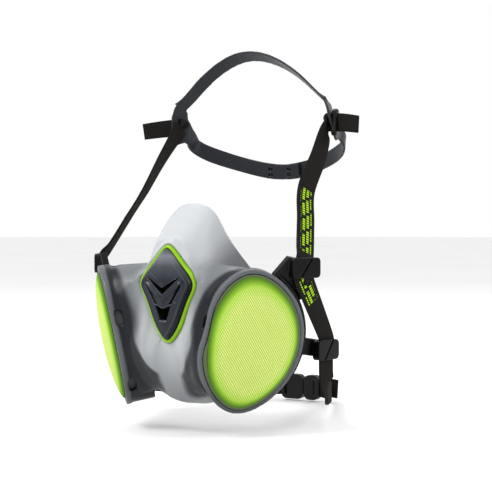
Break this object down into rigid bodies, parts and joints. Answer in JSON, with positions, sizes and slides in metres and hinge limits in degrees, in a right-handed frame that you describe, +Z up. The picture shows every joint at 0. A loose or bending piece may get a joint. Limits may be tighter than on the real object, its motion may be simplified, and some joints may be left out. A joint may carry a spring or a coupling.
{
  "type": "half mask respirator",
  "caption": "Half-mask respirator with a soft facepiece, built-in filter pods under mesh covers, a front exhalation valve, and webbing straps to a head cradle and a neck clasp.",
  "frame": {"origin": "centre of the face opening, on the mask's plane of symmetry", "axes": "+Z up, -Y the way the wearer looks, +X to the wearer's left"},
  "size_m": [0.1872, 0.2151, 0.272],
  "materials": {
    "tpe_grey": "satin",
    "canister_black": "matte",
    "carbon": "matte",
    "filter_white": "matte",
    "lime_plastic": "gloss",
    "lime_mesh": "matte",
    "valve_black": "matte",
    "silicone": "satin",
    "cover_grey": "satin",
    "frame_black": "satin",
    "webbing": "matte",
    "cradle_grey": "satin"
  },
  "bodies": {
    "mask": {"carbon_bed_left": "carbon", "carbon_bed_right": "carbon", "exhale_seat": "valve_black", "facepiece": "tpe_grey", "filter_canister_left": "canister_black", "filter_canister_right": "canister_black", "filter_mesh_left": "lime_mesh", "filter_mesh_right": "lime_mesh", "harness_frame_left": "frame_black", "harness_frame_right": "frame_black", "inhale_seat_left": "valve_black", "inhale_seat_right": "valve_black", "mesh_frame_left": "lime_plastic", "mesh_frame_right": "lime_plastic", "mid_strap_left": "webbing", "mid_strap_right": "webbing", "particulate_pad_left": "filter_white", "particulate_pad_right": "filter_white", "valve_bezel": "lime_plastic", "valve_cover": "cover_grey"},
    "head_harness": {"head_strap_left": "webbing", "head_strap_right": "webbing"},
    "cradle": {"cradle_yoke_left": "cradle_grey", "cradle_yoke_right": "cradle_grey", "crown_band": "cradle_grey", "cradle_rear_outer": "cradle_grey", "cradle_rear_inner": "cradle_grey", "strap_tail_left": "webbing", "strap_tail_right": "webbing"},
    "neck_half_left": {"neck_strap_left": "webbing", "neck_clasp_hook": "frame_black", "neck_tail": "webbing"},
    "neck_half_right": {"neck_strap_right": "webbing", "neck_clasp_socket": "frame_black"},
    "exhale_flap": {"exhale_flap": "silicone"},
    "inhale_flap_left": {"inhale_flap_left": "silicone"},
    "inhale_flap_right": {"inhale_flap_right": "silicone"}
  },
  "joints": [
    {"name": "harness_swing", "type": "hinge", "parent": "mask", "child": "head_harness", "pos_m": [0, -0.026, 0.033], "axis": [1, 0, 0], "range_deg": [-30, 60]},
    {"name": "cradle_tilt", "type": "hinge", "parent": "head_harness", "child": "cradle", "pos_m": [0, 0.054, 0.136], "axis": [1, 0, 0], "range_deg": [-20, 20]},
    {"name": "neck_open_left", "type": "hinge", "parent": "mask", "child": "neck_half_left", "pos_m": [0.086, 0.004, -0.025], "axis": [0, 0, -1], "range_deg": [0, 30]},
    {"name": "neck_open_right", "type": "hinge", "parent": "mask", "child": "neck_half_right", "pos_m": [-0.086, 0.004, -0.025], "axis": [0, 0, 1], "range_deg": [0, 30]},
    {"name": "exhale_lift", "type": "slide", "parent": "mask", "child": "exhale_flap", "axis": [0, -1, 0], "range_m": [0, 0.002], "stiffness_N_per_m": 5},
    {"name": "inhale_lift_left", "type": "slide", "parent": "mask", "child": "inhale_flap_left", "axis": [-0.755, 0.6246, 0.1994], "range_m": [0, 0.0015], "stiffness_N_per_m": 5},
    {"name": "inhale_lift_right", "type": "slide", "parent": "mask", "child": "inhale_flap_right", "axis": [0.755, 0.6246, 0.1994], "range_m": [0, 0.0015], "stiffness_N_per_m": 5}
  ],
  "couplings": [
    {"joint": "neck_open_right", "follows": "neck_open_left", "ratio": 1}
  ]
}
